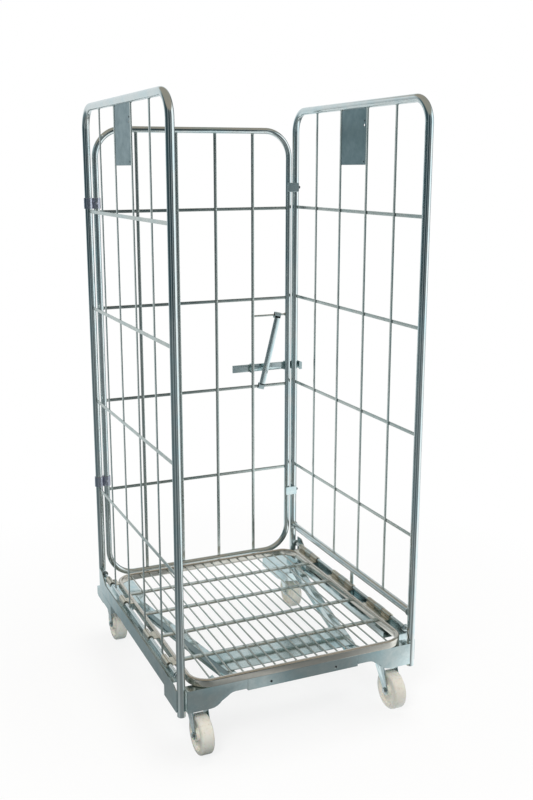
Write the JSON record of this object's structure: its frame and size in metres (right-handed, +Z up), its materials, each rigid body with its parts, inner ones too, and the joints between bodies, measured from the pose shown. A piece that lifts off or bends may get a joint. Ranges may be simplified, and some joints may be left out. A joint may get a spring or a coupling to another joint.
{
  "type": "roll cage container",
  "caption": "Nestable roll cage with bent-tube strip mesh sides, an open front, a swinging rear gate with a slide latch, a fold-up wire deck, a pressed base and swivel casters.",
  "frame": {"origin": "on the ground, midway between the four uprights", "axes": "+Z up, the open front faces -Y and the hinged gate closes the +Y side"},
  "size_m": [0.7272, 0.849, 1.6897],
  "materials": {
    "zinc_tube": "bright zinc plated, bluish, satin",
    "zinc_wire": "bright zinc plated strip and wire",
    "zinc_pressing": "bright zinc plated pressed sheet",
    "deck_zinc": "zinc plated, warm grey, satin",
    "knuckle": "yellow passivated zinc",
    "label_plate": "zinc plated sheet, darker teal grey",
    "hinge_strap": "zinc plated strap, lilac grey",
    "nylon": "cream white moulded nylon, satin"
  },
  "bodies": {
    "base": {"front_cross_plate": "zinc_pressing", "front_hinge_ring": "zinc_wire", "front_left_caster_plate": "zinc_pressing", "front_rail": "zinc_pressing", "front_right_caster_plate": "zinc_pressing", "left_base_diagonal": "zinc_pressing", "left_deck_rod": "zinc_tube", "left_front_corner": "zinc_pressing", "left_label_plate": "label_plate", "left_panel_frame": "zinc_tube", "left_panel_mesh": "zinc_wire", "left_rear_corner": "zinc_pressing", "left_side_rail": "zinc_pressing", "lower_gate_stop": "zinc_pressing", "middle_hinge_ring": "zinc_wire", "rear_hinge_ring": "zinc_wire", "rear_left_caster_plate": "zinc_pressing", "rear_right_caster_plate": "zinc_pressing", "right_base_diagonal": "zinc_pressing", "right_front_corner": "zinc_pressing", "right_hinge_rod": "zinc_tube", "right_label_plate": "label_plate", "right_panel_frame": "zinc_tube", "right_panel_lower_tube": "zinc_tube", "right_panel_mesh": "zinc_wire", "right_panel_post": "zinc_pressing", "right_rear_corner": "zinc_pressing", "right_side_rail": "zinc_pressing", "upper_gate_stop": "zinc_pressing"},
    "deck": {"deck_frame": "deck_zinc", "deck_hook_1": "knuckle", "deck_hook_2": "knuckle", "deck_hook_3": "knuckle", "deck_hook_4": "knuckle", "deck_mesh": "zinc_wire", "front_deck_knuckle": "knuckle", "middle_deck_knuckle": "knuckle", "rear_deck_knuckle": "knuckle"},
    "hinge_straps": {"lower_hinge_strap": "hinge_strap", "upper_hinge_strap": "hinge_strap"},
    "gate": {"gate_frame": "zinc_tube", "gate_mesh": "zinc_wire", "latch_guide": "zinc_pressing", "latch_staple": "zinc_pressing"},
    "latch_bar": {"latch_bar": "zinc_pressing"},
    "latch_lever": {"latch_lever": "zinc_pressing"},
    "front_left_caster": {"front_left_fork": "zinc_pressing", "front_left_axle": "zinc_tube"},
    "front_left_wheel": {"front_left_wheel": "nylon"},
    "front_right_caster": {"front_right_fork": "zinc_pressing", "front_right_axle": "zinc_tube"},
    "front_right_wheel": {"front_right_wheel": "nylon"},
    "rear_left_caster": {"rear_left_fork": "zinc_pressing", "rear_left_axle": "zinc_tube"},
    "rear_left_wheel": {"rear_left_wheel": "nylon"},
    "rear_right_caster": {"rear_right_fork": "zinc_pressing", "rear_right_axle": "zinc_tube"},
    "rear_right_wheel": {"rear_right_wheel": "nylon"}
  },
  "joints": [
    {"name": "deck_fold", "type": "hinge", "parent": "base", "child": "deck", "pos_m": [0.345, 0, 0.22], "axis": [0, 1, 0], "range_deg": [0, 75]},
    {"name": "strap_swing", "type": "hinge", "parent": "base", "child": "hinge_straps", "pos_m": [-0.345, 0.3875, 0.9], "axis": [0, 0, 1], "range_deg": [0, 180]},
    {"name": "gate_swing", "type": "hinge", "parent": "hinge_straps", "child": "gate", "pos_m": [-0.3205, 0.3875, 0.9], "axis": [0, 0, 1], "range_deg": [0, 90]},
    {"name": "lever_turn", "type": "hinge", "parent": "gate", "child": "latch_lever", "pos_m": [0.223, 0.3887, 0.79], "axis": [0, 1, 0], "range_deg": [-6.8, 0]},
    {"name": "latch_slide", "type": "slide", "parent": "gate", "child": "latch_bar", "axis": [1, 0, 0], "range_m": [-0.0077, 0]},
    {"name": "front_left_swivel", "type": "hinge", "parent": "base", "child": "front_left_caster", "pos_m": [-0.289, -0.349, 0.12], "axis": [0, 0, 1], "continuous": true},
    {"name": "front_left_roll", "type": "hinge", "parent": "front_left_caster", "child": "front_left_wheel", "pos_m": [-0.289, -0.385, 0.054], "axis": [1, 0, 0], "continuous": true},
    {"name": "front_right_swivel", "type": "hinge", "parent": "base", "child": "front_right_caster", "pos_m": [0.289, -0.349, 0.12], "axis": [0, 0, 1], "continuous": true},
    {"name": "front_right_roll", "type": "hinge", "parent": "front_right_caster", "child": "front_right_wheel", "pos_m": [0.289, -0.385, 0.054], "axis": [1, 0, 0], "continuous": true},
    {"name": "rear_left_swivel", "type": "hinge", "parent": "base", "child": "rear_left_caster", "pos_m": [-0.314, 0.371, 0.12], "axis": [0, 0, 1], "continuous": true},
    {"name": "rear_left_roll", "type": "hinge", "parent": "rear_left_caster", "child": "rear_left_wheel", "pos_m": [-0.314, 0.335, 0.054], "axis": [1, 0, 0], "continuous": true},
    {"name": "rear_right_swivel", "type": "hinge", "parent": "base", "child": "rear_right_caster", "pos_m": [0.314, 0.371, 0.12], "axis": [0, 0, 1], "continuous": true},
    {"name": "rear_right_roll", "type": "hinge", "parent": "rear_right_caster", "child": "rear_right_wheel", "pos_m": [0.314, 0.335, 0.054], "axis": [1, 0, 0], "continuous": true}
  ],
  "couplings": [
    {"joint": "latch_slide", "follows": "lever_turn", "m_per_rad": 0.0633}
  ]
}
